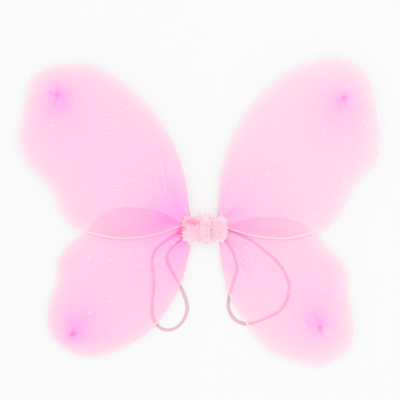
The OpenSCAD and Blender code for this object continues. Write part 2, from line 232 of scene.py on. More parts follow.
def smooth(value, low, high):
    """0 below low, 1 above high and an even ramp between."""
    t = np.clip((value - low) / (high - low), 0, 1)
    return t * t * (3 - 2 * t)


def on_circle(angle):
    """Points of the unit circle at angles in radians."""
    return np.stack([np.cos(angle), np.sin(angle)], axis=-1)


def polar(degrees):
    return on_circle(np.radians(degrees))


def colour(text):
    """A screen colour such as #ffb3ea, as the linear red, green, blue and alpha that shaders take."""
    parts = [int(text[i : i + 2], 16) / 255 for i in (1, 3, 5)]
    linear = [p / 12.92 if p < 0.04045 else ((p + 0.055) / 1.055) ** 2.4 for p in parts]
    return (*linear, 1.0)


def grey(level):
    return (level, level, level, 1)


# ---- Materials ----


def operator(operation, reflected=False):
    """A Math node as an operator of Value; reflected when the number stands first."""

    def apply(value, other):
        first, second = (other, value) if reflected else (value, other)
        values = {0: first, 1: second}
        return value.finish.node("ShaderNodeMath", {"operation": operation}, values)

    return apply


class Value:
    """A shader socket that takes part in sums, as numbers do."""

    def __init__(self, finish, socket):
        self.finish = finish
        self.socket = socket

    __add__, __radd__ = operator("ADD"), operator("ADD", True)
    __sub__, __rsub__ = operator("SUBTRACT"), operator("SUBTRACT", True)
    __mul__, __rmul__ = operator("MULTIPLY"), operator("MULTIPLY", True)
    __truediv__ = operator("DIVIDE")
    __gt__ = operator("GREATER_THAN")


class Finish:
    """A material in the making, with its constant values set straight on the shader."""

    def __init__(self, name, **constants):
        self.material = bpy.data.materials.new(name)
        self.material.use_nodes = True
        self.tree = self.material.node_tree
        self.shader = self.tree.nodes["Principled BSDF"]
        for socket, value in constants.items():
            self.shader.inputs[socket.replace("_", " ")].default_value = value

    def node(self, kind, settings=None, values=None, output=0):
        """Adds a node, sets it up, fills its sockets and returns one of its outputs."""
        made = self.tree.nodes.new(kind)
        for name, value in (settings or {}).items():
            if name == "stops":
                ramp = made.color_ramp
                while len(ramp.elements) < len(value):
                    ramp.elements.new(1)
                for element, (place, shade) in zip(ramp.elements, value):
                    element.position = place
                    element.color = shade
            else:
                setattr(made, name, value)
        for socket, value in (values or {}).items():
            self.put(made.inputs[socket], value)
        return Value(self, made.outputs[output])

    def put(self, socket, value):
        if isinstance(value, Value):
            self.tree.links.new(value.socket, socket)
        else:
            socket.default_value = value

    def set(self, socket, value):
        self.put(self.shader.inputs[socket], value)

    def place(self):
        """Object coordinates in metres."""
        return self.node("ShaderNodeTexCoord", output="Object")

    def parts(self, vector, count):
        """The first few components of a vector."""
        return [
            self.node("ShaderNodeSeparateXYZ", values={0: vector}, output=i) for i in range(count)
        ]

    def uv(self):
        """The piece's own UV map: one number across it and one along it."""
        return self.parts(self.node("ShaderNodeUVMap", {"uv_map": "UVMap"}), 2)

    def attribute(self, name):
        """A number that the piece carries at each of its points."""
        return self.node("ShaderNodeAttribute", {"attribute_name": name}, output="Fac")

    def spread(self, name):
        """A direction and a distance that the piece carries at each of its points."""
        return self.node("ShaderNodeAttribute", {"attribute_name": name}, output="Vector")

    def noise(self, vector, scale, detail=3.0):
        values = {"Vector": vector, "Scale": scale, "Detail": detail}
        return self.node("ShaderNodeTexNoise", values=values)

    def ramp(self, value, *stops):
        return self.node("ShaderNodeValToRGB", {"stops": stops}, {0: value})

    def mix(self, factor, first, second):
        values = {0: factor, 6: first, 7: second}
        return self.node("ShaderNodeMix", {"data_type": "RGBA"}, values, output=2)

    def wave(self, value):
        """A sine of the value, from 0 to 1."""
        swing = self.node("ShaderNodeMath", {"operation": "SINE"}, {0: value})
        return swing * 0.5 + 0.5

    def bump(self, height, distance, strength):
        values = {"Height": height, "Distance": distance, "Strength": strength}
        self.set("Normal", self.node("ShaderNodeBump", values=values))


# How many times denser than the stretched cover the nylon's colours go
NYLON_DENSEST = 3.2


def nylon_finish():
    """Sheer stocking nylon: the more it is gathered, the denser and deeper its pink."""
    finish = Finish("pink_nylon", Roughness=0.5, Sheen_Weight=0.15, Sheen_Roughness=0.4)
    spot = finish.place()
    mottle = finish.noise(spot, 60.0) - 0.5
    folds, star = [
        finish.attribute(amount) * (finish.noise(finish.spread(fan), 1.0, 2.0) - 0.5)
        for amount, fan in (("fold_amount", "root_fan"), ("star_amount", "knot_fan"))
    ]
    dense = finish.attribute("gather") + mottle * 0.08 + folds + star
    level = dense / NYLON_DENSEST
    pinks = ((0, "#ffdcd8"), (0.31, "#fcb6d5"), (0.62, "#f88edc"), (0.8, "#f97fd0"), (0.95, "#f770c2"))
    pink = finish.ramp(level, *((place, colour(text)) for place, text in pinks))
    # Painted light: a lilac pink where an upper wing lies over a lower one
    overlap_lit_pink = finish.mix(finish.attribute("under") * 0.6, pink, colour("#f8acf0"))
    crushed = finish.attribute("crushed") * 0.85
    finish.set("Base Color", finish.mix(crushed, overlap_lit_pink, colour("#ff5c98")))
    opacities = ((0, 0.04), (0.31, 0.42), (0.62, 0.52), (0.95, 0.75))
    cover = finish.ramp(level, *((place, grey(shade)) for place, shade in opacities))
    course, wale = finish.parts(spot, 2)
    knit = finish.wave(course * 9000.0) * finish.wave(wale * 7400.0)
    finish.set("Alpha", cover + (knit - 0.25) * 0.06)
    finish.bump(knit * 0.2 + folds + star, 0.0003, 0.5)
    return finish.material


def wire_finish():
    """White plastic-coated wire, faintly blotched where the coating is thin."""
    finish = Finish("coated_wire", Coat_Weight=0.3, Coat_Roughness=0.2)
    blotch = finish.noise(finish.place(), 700.0)
    finish.set("Base Color", finish.mix(blotch, colour("#f8e6ef"), colour("#edd8e3")))
    finish.set("Roughness", blotch * 0.25 + 0.25)
    finish.bump(finish.noise(finish.place(), 2600.0), 0.00003, 0.4)
    return finish.material


def thread_finish():
    finish = Finish("pink_thread", Roughness=0.7, Sheen_Weight=0.3)
    across, along = finish.uv()
    strand = finish.wave(along * 2.2 + across * 12.0)
    finish.set("Base Color", finish.mix(strand, colour("#f287c8"), colour("#fdb3e0")))
    finish.bump(strand, 0.00005, 0.8)
    return finish.material


def glue_finish():
    """Dried glitter glue: a milky pink gel full of tiny flecks."""
    finish = Finish("glitter_glue", Coat_Weight=0.5, Coat_Roughness=0.1)
    spot = finish.place()
    cells = finish.node("ShaderNodeTexVoronoi", values={"Vector": spot, "Scale": 2600.0}, output="Color")
    grain = finish.node("ShaderNodeSeparateColor", values={0: cells})
    thick = finish.attribute("thick")
    finish.set("Base Color", finish.mix(grain, colour("#ffc6e6"), colour("#ffe6f5")))
    finish.set("Roughness", grain * 0.4 + 0.12)
    finish.set("Metallic", (grain > 0.92) * 0.5)
    finish.set("Alpha", thick * (grain * 0.14 + 0.12) + 0.01)
    finish.bump(grain, 0.0001, 0.6)
    return finish.material


def fleck_finish():
    finish = Finish("glitter_flecks", Metallic=0.5)
    shade = finish.noise(finish.place(), 900.0)
    finish.set("Base Color", finish.mix(shade, colour("#ffd7ee"), colour("#ffffff")))
    finish.set("Roughness", shade * 0.2 + 0.12)
    return finish.material


def plush_finish():
    """Long-pile plush in pale peachy pink, deeper at the foot of the pile, with shade painted into its
    folds as a deeper pink and a faint pink glow painted over all of it.
    """
    finish = Finish(
        "pink_plush",
        Roughness=0.8,
        Sheen_Weight=0.6,
        Sheen_Roughness=0.4,
        # Painted light: a faint pink glow over the whole plush, standing in for light that passes
        # through its fibres
        Emission_Color=colour("#ffb4d2"),
        Emission_Strength=0.2,
    )
    patch = finish.noise(finish.place(), 130.0, 4.0)
    pale = finish.mix(patch, colour("#fff4f8"), colour("#ffe2ee"))
    deep = finish.mix(patch, colour("#ffe2ec"), colour("#ffd2e2"))
    pile = finish.mix(finish.attribute("tip"), deep, pale)
    # Painted shade: the strip's folds are painted a deeper pink
    finish.set("Base Color", finish.mix(finish.attribute("fold"), pile, colour("#f77aa8")))
    finish.bump(finish.noise(finish.place(), 2500.0), 0.0002, 0.5)
    return finish.material


def tape_finish():
    finish = Finish("cotton_tape", Roughness=0.85, Sheen_Weight=0.2)
    spot = finish.place()
    x, y, z = finish.parts(spot, 3)
    weave = finish.wave(x * 7000.0) * finish.wave((y + z) * 7000.0)
    lap = finish.wave(x * 1500.0 + y * 300.0)
    shade = finish.mix(weave * 0.7 + lap * 0.3, colour("#e9a9c2"), colour("#f9d0df"))
    finish.set("Base Color", shade)
    finish.bump(weave + lap, 0.0001, 0.7)
    return finish.material


def elastic_finish():
    """Flat braided elastic: dusty pink ribs that lean one way and then the other."""
    finish = Finish("dusty_pink_elastic", Roughness=0.75, Sheen_Weight=0.2)
    across, along = finish.uv()
    half = finish.node("ShaderNodeMath", {"operation": "ABSOLUTE"}, {0: across - 0.5})
    braid = finish.wave(half * 26.0 + along * 5200.0)
    ribs = finish.wave(across * 62.0)
    wear = finish.noise(finish.place(), 90.0) * 0.35 + finish.wave(along * 785.0) * 0.2
    shade = finish.mix(braid, colour("#c396a8"), colour("#debcc9"))
    worn = finish.mix(wear, shade, colour("#d4aebd"))
    finish.set("Base Color", finish.mix(finish.attribute("blush"), worn, colour("#f0699f")))
    finish.bump(braid * 0.6 + ribs * 0.4, 0.00015, 0.8)
    return finish.material


NYLON = nylon_finish()
WIRE = wire_finish()
THREAD = thread_finish()
GLUE = glue_finish()
FLECK = fleck_finish()
PLUSH = plush_finish()
TAPE = tape_finish()
ELASTIC = elastic_finish()


# ---- Making pieces ----


def deselect():
    bpy.ops.object.select_all(action="DESELECT")


def only(piece):
    """Makes the piece the only one that is selected."""
    deselect()
    bpy.context.view_layer.objects.active = piece
    piece.select_set(True)


@contextmanager
def editing():
    """Edit mode for the active piece, with all of it selected."""
    bpy.ops.object.mode_set(mode="EDIT")
    bpy.ops.mesh.select_all(action="SELECT")
    yield
    bpy.ops.object.mode_set(mode="OBJECT")


def outward(piece):
    """Turns every face of a closed piece outwards."""
    only(piece)
    with editing():
        bpy.ops.mesh.normals_make_consistent(inside=False)


def finished(piece, name, material, smooth_angle=None):
    """Names the piece, puts its place in its mesh and gives it its material and shading."""
    only(piece)
    bpy.ops.object.transform_apply(location=True, rotation=True, scale=True)
    piece.name = name
    piece.data.name = name
    piece.data.materials.clear()
    piece.data.materials.append(material)
    if smooth_angle is None:
        bpy.ops.object.shade_smooth()
    else:
        bpy.ops.object.shade_smooth_by_angle(angle=math.radians(smooth_angle))
    return piece


def placed(piece, body, slot, *nodes):
    """Fixes a finished piece to its body, in place of the frame's own nodes."""
    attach(piece, body)
    if nodes:
        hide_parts(*nodes)
    return piece


def mesh_piece(name, points, faces):
    """A new mesh object from points in millimetres."""
    mesh = bpy.data.meshes.new(name)
    mesh.from_pydata((np.asarray(points) * MM).tolist(), [], faces)
    piece = bpy.data.objects.new(name, mesh)
    bpy.context.scene.collection.objects.link(piece)
    return piece


def joined(name, pieces):
    """Several objects made one."""
    deselect()
    for piece in pieces:
        piece.select_set(True)
    bpy.context.view_layer.objects.active = pieces[0]
    bpy.ops.object.join()
    made = bpy.context.view_layer.objects.active
    made.name = name
    made.data.name = name
    return made


def drawn_wire(name, path, radius, resolution=2, radii=None):
    """A round wire bent along a path, both ends closed."""
    deselect()
    bpy.ops.curve.primitive_nurbs_path_add(location=(0, 0, 0))
    piece = bpy.context.object
    piece.data.splines.clear()
    line = piece.data.splines.new("POLY")
    line.points.add(len(path) - 1)
    at = np.hstack([np.asarray(path) * MM, np.ones((len(path), 1))])
    line.points.foreach_set("co", at.ravel())
    if radii is not None:
        line.points.foreach_set("radius", radii)
    piece.data.twist_mode = "MINIMUM"
    piece.data.bevel_depth = radius * MM
    piece.data.bevel_resolution = resolution
    piece.data.use_fill_caps = True
    only(piece)
    bpy.ops.object.convert(target="MESH")
    made = bpy.context.object
    made.name = name
    return made


def points_of(piece):
    """The piece's points, in millimetres."""
    flat = np.empty(len(piece.data.vertices) * 3, np.float32)
    piece.data.vertices.foreach_get("co", flat)
    return flat.reshape(-1, 3).astype(float) / MM


def moved(piece, function):
    """Moves the piece's points, in millimetres, by a function of all of them."""
    points = function(points_of(piece)) * MM
    piece.data.vertices.foreach_set("co", points.astype(np.float32).ravel())
    piece.data.update()
    return piece


def mark_points(piece, name, values):
    """Stores a number for each of the piece's points, which its material reads."""
    mark = piece.data.attributes.new(name, "FLOAT", "POINT")
    mark.data.foreach_set("value", np.asarray(values).astype(np.float32))


def scattered(name, pattern, feet, ups, spins, sizes, tip=False):
    """Copies of a small pattern, stood on the feet along the ups, as one mesh."""
    points = points_of(pattern)
    faces = [list(p.vertices) for p in pattern.data.polygons]
    count = len(feet)
    helper = np.where(np.abs(ups[:, 2:3]) > 0.9, [[1.0, 0, 0]], [[0, 0, 1.0]])
    side = unit(np.cross(helper, ups))
    front = np.cross(ups, side)
    turn = np.cos(spins)[:, None] * side + np.sin(spins)[:, None] * front
    other = np.cross(ups, turn)
    axes = np.stack([turn, other, ups], axis=1) * np.asarray(sizes)[:, None, None]
    spread = feet[:, None, :] + np.einsum("pk,nkj->npj", points, axes)
    step = len(points)
    every = [[i * step + v for v in face] for i in range(count) for face in faces]
    piece = mesh_piece(name, spread.reshape(-1, 3), every)
    if tip:
        height = points[:, 2] / points[:, 2].max()
        mark_points(piece, "tip", np.tile(height, count))
    return piece


# ---- Wings ----

# A full turn over the angle of the root's fan of folds
ROOT_SPREAD = 3.2
# How far the cover's density reaches from its root and from its knot, and how far it is thin
# inside the rim: right beside the wire and more broadly
ROOT_REACH = 56
HALO_REACH = 16
EDGE_THIN = 3.5
EDGE_BROAD = 12


class Wing:
    """One wing: its drawing, its place on the frame and the shape of its stretched cover."""

    def __init__(self, name, side, up, drawing, density, root_density, halo, seed):
        pulled, pull, self.strength = halo
        self.name = name
        self.body = name + "_wing"
        self.side = side
        self.up = up
        self.pivot = PIVOT[name + "_fan"]
        self.knot = np.array(drawing["knot"], float)
        self.swirls = drawing["swirls"]
        self.dots = np.array(drawing["dots"], float)
        self.crush = drawing.get("crush", [])
        self.overlap_lightening = drawing.get("overlap_lightening", 0)
        self.density = density
        self.root_density = root_density
        self.neck = polar(NECK_ANGLE[up])
        self.drawn = polar(pulled) * pull
        self.seed = seed
        self.edge = self.rim(np.array(drawing["rim"], float))
        # 1 when the inside of the rim lies to its left, -1 when it lies to its right
        self.turn = 1 if area_of(self.edge) > 0 else -1
        self.random = np.random.default_rng(seed)
        self.root_pleats = self.pleats(22, 1.3 * ROOT_SPREAD)
        self.knot_pleats = self.pleats(17, 5.0)

    def rim(self, points):
        """The rim from one side of the neck round the wing to the other side."""
        across = left_of(self.neck)
        side = 1 if points[0] @ across > 0 else -1
        start = [s * self.neck + side * NECK_HALF * across for s in NECK_KNOTS]
        finish = [s * self.neck - side * NECK_HALF * across for s in NECK_KNOTS]
        return spline(np.vstack([start, points, finish[::-1]]), 8)

    def inset(self, path, distance):
        return path + distance * self.turn * left_of(headings(path))

    def on_frame(self, flat, height):
        """Points of the wing's own frame, at a height above its middle, in the shared frame."""
        x = self.pivot[0] + self.side * flat[:, 0]
        y = self.pivot[1] + flat[:, 1]
        return np.stack([x, y, np.broadcast_to(self.pivot[2] + height, len(flat))], axis=1)

    def pleats(self, count, width):
        """Angles, widths and strengths of the folds that run out from a gathered point."""
        angles = np.linspace(-180, 180, count, endpoint=False)
        angles += self.random.uniform(-0.4, 0.4, count) * 360 / count
        widths = width * self.random.uniform(0.6, 1.6, count)
        return angles, widths, self.random.uniform(0.3, 1.0, count)

    @staticmethod
    def folded(angle, pleats):
        """How far up a fold each angle is, from about -0.3 in a valley to 1 on a crest."""
        total = -0.3 * np.ones_like(angle)
        for at, width, strength in zip(*pleats):
            off = (angle - at + 180) % 360 - 180
            total += strength * np.exp(-((off / width) ** 2))
        return total

    def from_rim(self, flat):
        """Distance of each point from the rim."""
        line = self.edge[8:-8]
        nearest = np.full(len(flat), np.inf)
        for point in resampled(line, 2.5):
            gap = (flat[:, 0] - point[0]) ** 2 + (flat[:, 1] - point[1]) ** 2
            np.minimum(nearest, gap, out=nearest)
        return np.sqrt(nearest)

    def gathers(self, flat):
        """Relief in millimetres and gathering of the cover at each point."""
        root = np.linalg.norm(flat, axis=1)
        ray = np.degrees(np.arctan2(flat[:, 1], flat[:, 0]))
        spokes = flat - self.knot
        away = np.linalg.norm(spokes, axis=1)
        round_it = np.degrees(np.arctan2(spokes[:, 1], spokes[:, 0]))
        inside = self.from_rim(flat)

        # The root's fan is a part of a full turn, over which its folds are spread
        root_fold = self.folded((ray * ROOT_SPREAD + 180) % 360 - 180, self.root_pleats)
        knot_fold = self.folded(round_it, self.knot_pleats)
        root_fade = np.exp(-root / 42) * smooth(root, 4, 18)
        knot_fade = np.exp(-away / 11) * smooth(away, 1, 4)
        flat_rim = smooth(inside, 1.5, 7)
        relief = (0.32 * root_fold * root_fade + 0.35 * knot_fold * knot_fade) * flat_rim

        toward = -(spokes @ self.drawn) / np.maximum(away, 0.01)
        reach = away * (1 - toward)
        gather = 1 + self.density + self.root_density / (1 + (root / ROOT_REACH) ** 3)
        gather += self.strength * np.exp(-((reach / HALO_REACH) ** 1.15))
        gather += 0.1 * np.exp(-((away / 4) ** 2))
        # Painted light: the lower wing's cover is made thinner and paler where an upper wing lies over
        # it
        gather -= self.overlap_lightening * smooth(flat[:, 1], -8, 10) * smooth(root, 20, 60)
        broad = 0.12 + 0.3 * smooth(root, 60, 220)
        thin = 0.34 * np.exp(-inside / EDGE_THIN) + broad * np.exp(-inside / EDGE_BROAD)
        gather *= 1 - thin * smooth(root, 8, 22)
        gather += 1.1 * self.crushed(flat)
        gather += 0.12 * root_fold * np.exp(-root / 50) + 0.3 * knot_fold * np.exp(-away / 12)
        return relief, gather

    def crushed(self, flat):
        """How much the cover is crushed together at each point, from 0 to 1."""
        total = np.zeros(len(flat))
        for x, y, wide, depth in self.crush:
            off = np.hypot(flat[:, 0] - x, flat[:, 1] - y) / wide
            total += depth * np.exp(-(off ** 2))
        return total

    def front(self, flat):
        """Height of the front film above the wing's middle."""
        inside = self.from_rim(flat)
        away = np.linalg.norm(flat - self.knot, axis=1)
        relief, _ = self.gathers(flat)
        dimple = 0.65 * np.exp(-((away / 5) ** 2))
        return COVER_R - 0.3 * smooth(inside, COVER_R, 40) - dimple + relief

    def spokes(self):
        """Inset rim and the inner rings of the cover, each spoke bending into the neck."""
        path = self.edge[8:-8]
        pace = 0.8 + np.minimum(np.linalg.norm(path, axis=1) * 0.02, 1.7)
        rim = resampled(path, pace)
        start = self.inset(rim, COVER_R)
        along = lengths(rim)
        from_neck = np.minimum(along, along[-1] - along)
        bend = 1 - smooth(from_neck, 8, 65)[:, None]
        across = left_of(self.neck)
        beside = np.sign(start @ across) * from_neck * 0.8
        mouth = 40 * self.neck + beside[:, None] * across
        middle = (start + self.knot) / 2 * (1 - bend) + mouth * bend
        near = 0.13 * np.linspace(0, 1, 18)[1:] ** 1.5
        far = np.linspace(0.13, 0.975, 44)[1:]
        edge = np.array([0.982, 0.988, 0.994])
        rings = []
        for u in np.concatenate([near, far, edge])[::-1]:
            rings.append((1 - u) ** 2 * self.knot + 2 * u * (1 - u) * middle + u * u * start)
        return rim, start, rings


def mark_fan(piece, name, flat, round_it, outwards, shift):
    """Stores a direction and a distance for each point, along which folds run outwards."""
    distance = np.linalg.norm(flat, axis=1, keepdims=True)
    around = flat / np.maximum(distance, 0.05) * round_it + 7.3 * shift
    fan = np.hstack([around, distance * outwards])
    mark = piece.data.attributes.new(name, "FLOAT_VECTOR", "POINT")
    mark.data.foreach_set("vector", fan.astype(np.float32).ravel())


def cover(wing):
    """The cover: a closed bag of two thin films that wraps round the wire at its rim."""
    rim, start, rings = wing.spokes()
    count = len(rim)
    # Rings round the outside of the wire, from its widest line up to its top
    flats = [rim]
    heights = [np.zeros(count)]
    for angle in (30, 60):
        across, up = 1 - polar(angle)[0], polar(angle)[1]
        flats.append(rim + (start - rim) * across)
        heights.append(np.full(count, COVER_R * up))
    flats.append(start)
    heights.append(np.full(count, COVER_R))
    inner = np.vstack(rings + [wing.knot[None]])
    relief, _ = wing.gathers(inner)
    front = wing.front(inner)
    back = -COVER_R + 0.3 * smooth(wing.from_rim(inner), COVER_R, 40) + 0.5 * relief
    wrapped = len(flats) * count
    outer = np.vstack(flats)
    outer_z = np.concatenate(heights)
    # Front points, then the back's, which share the rim's own ring
    flat = np.vstack([outer, inner, outer[count:], inner])
    height = np.concatenate([outer_z, front, -outer_z[count:], back])
    points = wing.on_frame(flat, height)
    total = len(flats) + len(rings)
    top = [list(range(i * count, (i + 1) * count)) for i in range(total)]
    shift = wrapped + len(inner) - count
    bottom = [top[0]] + [[v + shift for v in ring] for ring in top[1:]]
    faces = []
    rim_faces_up = wing.turn * wing.side > 0
    for layer, flip in ((top, not rim_faces_up), (bottom, rim_faces_up)):
        for ring, following in zip(layer, layer[1:]):
            for k in range(count):
                n = (k + 1) % count
                face = [ring[k], ring[n], following[n], following[k]]
                faces.append(face[::-1] if flip else face)
        centre = wrapped + len(inner) - 1 + (0 if layer is top else shift)
        for k in range(count):
            face = [layer[-1][k], layer[-1][(k + 1) % count], centre]
            faces.append(face[::-1] if flip else face)
    name = wing.name + "_net"
    piece = finished(mesh_piece(name, points, faces), name, NYLON)
    _, gather = wing.gathers(flat)
    mark_points(piece, "gather", gather)
    root, away = np.linalg.norm(flat, axis=1), np.linalg.norm(flat - wing.knot, axis=1)
    mark_points(piece, "fold_amount", 2.0 * np.exp(-root / 48) * smooth(root, 3, 14))
    mark_points(piece, "star_amount", 3.2 * np.exp(-away / 10) * smooth(away, 0.5, 3))
    # Where an upper wing lies over a lower one, for the lilac pink painted there as light
    covered = smooth(flat[:, 1], -8, 10) * smooth(root, 22, 55)
    mark_points(piece, "under", covered * (wing.up < 0))
    mark_points(piece, "crushed", wing.crushed(flat))
    mark_fan(piece, "root_fan", flat, 17, 0.02, wing.seed)
    mark_fan(piece, "knot_fan", flat - wing.knot, 2.6, 0.05, wing.seed)
    placed(piece, wing.body, "nylon", wing.name + "_cover")
    return piece


def wing_wire(wing):
    """The wire loop inside the cover's rim."""
    line = wing.inset(resampled(wing.edge, 2.0), COVER_R)[1:-1]
    name = wing.name + "_loop"
    piece = finished(drawn_wire(name, wing.on_frame(line, 0), WIRE_R, 3), name, WIRE)
    return placed(piece, wing.body, "wire", wing.name + "_wire")


def wire_bend(name, start, end):
    """A short straight stretch of wire, placed where one piece of the frame turns on the next."""
    path = np.array(start) + np.linspace(0, 1, 9)[:, None] * (np.array(end) - np.array(start))
    piece = finished(drawn_wire(name, path, 0.96 * WIRE_R, 3), name, WIRE)
    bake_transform(piece)
    return piece


def wire_bends(side, name):
    """The bends between the centre and a side's wire ends, and on to its two wings."""
    for level, wing_name in ((1, "upper"), (-1, "lower")):
        fan = PIVOT[f"{wing_name}_{name}_fan"]
        lean, rise = polar(NECK_ANGLE[level])
        neck = np.array([side * lean, rise, 0])
        across = np.array([-side * rise, lean, 0])
        for which, shift in enumerate((-WIRE_PITCH, WIRE_PITCH)):
            y = fan[1] + shift
            inner = [side * (FLAP_X - BEND_GAP), y, fan[2]]
            outer = [side * (FLAP_X + BEND_GAP), y, fan[2]]
            made = f"{wing_name}_{name}_flap_bend_{which}"
            wire_bend(made, inner, outer)
            near = [side * (abs(fan[0]) - FAN_GAP), y, fan[2]]
            far = fan + BEND_REACH * neck + shift * across
            made = f"{wing_name}_{name}_fan_bend_{which}"
            wire_bend(made, near, far)


def thread(wing, name, node, flat, height, radius):
    """A length of thread along a path of the wing's own frame."""
    piece = drawn_wire(name, wing.on_frame(flat, height), radius)
    return placed(finished(piece, name, THREAD), wing.body, "thread", node)


def root_thread(wing):
    """Thread wound round the gathered root, one turn beside the next."""
    low, high, turns = 3.5, 5.5, 6
    half_w, half_h, corner = NECK_HALF + 0.25, COVER_R + 0.25, 1.2
    t = np.linspace(0, turns, turns * 28)
    angle = t * 2 * math.pi
    across = np.sign(np.cos(angle)) * (half_w - corner) + np.cos(angle) * corner
    height = np.sign(np.sin(angle)) * (half_h - corner) + np.sin(angle) * corner
    along = low + (high - low) * t / turns
    flat = along[:, None] * wing.neck + across[:, None] * left_of(wing.neck)
    return thread(wing, wing.name + "_root_thread", wing.name + "_root_tie", flat, height, 0.19)


def tip_thread(wing):
    """Thread wound round the knot, inside the cover."""
    turns = 2.8
    angle = np.linspace(0, turns, 90) * 2 * math.pi
    radius = 2.6 + 0.12 * np.sin(angle * 0.7)
    flat = wing.knot + radius[:, None] * on_circle(angle)
    height = -1.0 + 0.28 * angle / (2 * math.pi)
    return thread(wing, wing.name + "_tip_thread", wing.name + "_tip_tie", flat, height, 0.17)


def knot(wing):
    """The cover's gathered end, a small pleated rosette inside the wing."""
    deselect()
    bpy.ops.mesh.primitive_circle_add(vertices=48, radius=2.4 * MM, fill_type="NGON")
    piece = bpy.context.object
    with editing():
        for rise, size in ((0.25, 0.95), (0.3, 0.86), (0.25, 1.08), (0.2, 0.75), (-0.15, 0.5)):
            bpy.ops.mesh.extrude_region_move(TRANSFORM_OT_translate={"value": (0, 0, rise * MM)})
            bpy.ops.transform.resize(value=(size, size, 1))

    def pleated(points):
        angle = np.arctan2(points[:, 1], points[:, 0])
        radius = np.hypot(points[:, 0], points[:, 1])
        ripple = 1 + 0.09 * np.sin(12 * angle) * smooth(radius, 0.2, 1.5)
        flat = points[:, :2] * ripple[:, None] + wing.knot
        return wing.on_frame(flat, points[:, 2] - 1.15)

    outward(moved(piece, pleated))
    finished(piece, wing.name + "_knot", THREAD)
    return placed(piece, wing.body, "nylon")


def swirl(wing, centre, outer, turns, tail):
    """A spiral that winds outwards from its centre, then runs on along the tail."""
    centre = np.array(centre, float)
    tail = np.array(tail, float)
    out = tail[0] - centre
    end = math.degrees(math.atan2(out[1], out[0])) - wing.up * 45
    count = int(turns * 360 // 24)
    steps = np.arange(count + 1)
    angle = np.radians(end - wing.up * (count - steps) * 24)
    radius = 2.5 + (outer - 2.5) * steps / count
    turn = centre + radius[:, None] * on_circle(angle)
    return spline(np.vstack([turn, tail]), 4)


def glue_lines(wing):
    """Glitter glue drawn in swirls: flattened beads of glue that swell and thin."""
    beads = []
    flakes = []
    for number, shape in enumerate(wing.swirls):
        path = resampled(swirl(wing, *shape), 1.0)
        along = lengths(path)
        swell = 1 + 0.22 * np.sin(along * 0.55 + number) + 0.12 * np.sin(along * 1.7)
        taper = smooth(along, 0, 2) * smooth(along[-1] - along, 0, 14) * 0.7 + 0.3
        flat_path = np.hstack([path, np.zeros((len(path), 1))])
        bead = drawn_wire("bead", flat_path, GLUE_R, 2, swell * taper)
        rises = points_of(bead)[:, 2] / GLUE_R
        mark_points(bead, "thick", smooth(rises, 0.0, 0.85))

        def laid(points):
            return wing.on_frame(points[:, :2], wing.front(points[:, :2]) + 0.35 * points[:, 2])

        beads.append(moved(bead, laid))
        spots = path[wing.random.integers(0, len(path), int(along[-1] * 1.2))]
        flakes.append(spots + wing.random.uniform(-0.7, 0.7, (len(spots), 2)))
    piece = joined(wing.name + "_glue_lines", beads)
    outward(finished(piece, wing.name + "_glue_lines", GLUE))
    placed(piece, wing.body, "glitter", wing.name + "_swirls")
    flecks(wing, wing.name + "_line_flecks", np.vstack(flakes), 0.25)
    return piece


def glue_dots(wing):
    """Glitter glue dots, each a low dome."""
    deselect()
    bpy.ops.mesh.primitive_uv_sphere_add(segments=24, ring_count=14, radius=DOT_R * MM)
    dome = bpy.context.object
    with editing():
        bpy.ops.transform.resize(value=(1, 1, DOT_RISE))
    rises = points_of(dome)[:, 2] / (DOT_RISE * DOT_R)
    count = len(wing.dots)
    feet = wing.on_frame(wing.dots, wing.front(wing.dots))
    ups = np.tile([0.0, 0.0, 1.0], (count, 1))
    sizes = wing.random.uniform(0.85, 1.1, count)
    name = wing.name + "_glue_dots"
    piece = scattered(name, dome, feet, ups, wing.random.uniform(0, 6, count), sizes)
    heaped = wing.random.uniform(0.9, 2.4, count)
    mark_points(piece, "thick", np.outer(heaped, smooth(rises, 0.0, 0.6)).ravel())
    bpy.data.objects.remove(dome)
    outward(finished(piece, name, GLUE))
    placed(piece, wing.body, "glitter", wing.name + "_dots")
    around = np.repeat(wing.dots, 6, axis=0)
    around = around + wing.random.normal(0, 0.7, around.shape)
    flecks(wing, wing.name + "_dot_flecks", around, 0.3)
    return piece


def flecks(wing, name, flat, height):
    """Glitter flecks: tiny six-sided plates tilted every way in the glue."""
    deselect()
    bpy.ops.mesh.primitive_circle_add(vertices=6, radius=0.12 * MM, fill_type="NGON")
    plate = bpy.context.object
    with editing():
        bpy.ops.mesh.extrude_region_move(TRANSFORM_OT_translate={"value": (0, 0, 0.03 * MM)})
    outward(plate)
    count = len(flat)
    feet = wing.on_frame(flat, wing.front(flat) + height)
    ups = unit(wing.random.normal(0, 0.35, (count, 3)) + [0, 0, 1])
    sizes = wing.random.uniform(0.7, 1.3, count)
    piece = scattered(name, plate, feet, ups, wing.random.uniform(0, 6, count), sizes)
    bpy.data.objects.remove(plate)
    return placed(finished(piece, name, FLECK, 20), wing.body, "glitter")


# ---- Shoulder loops ----


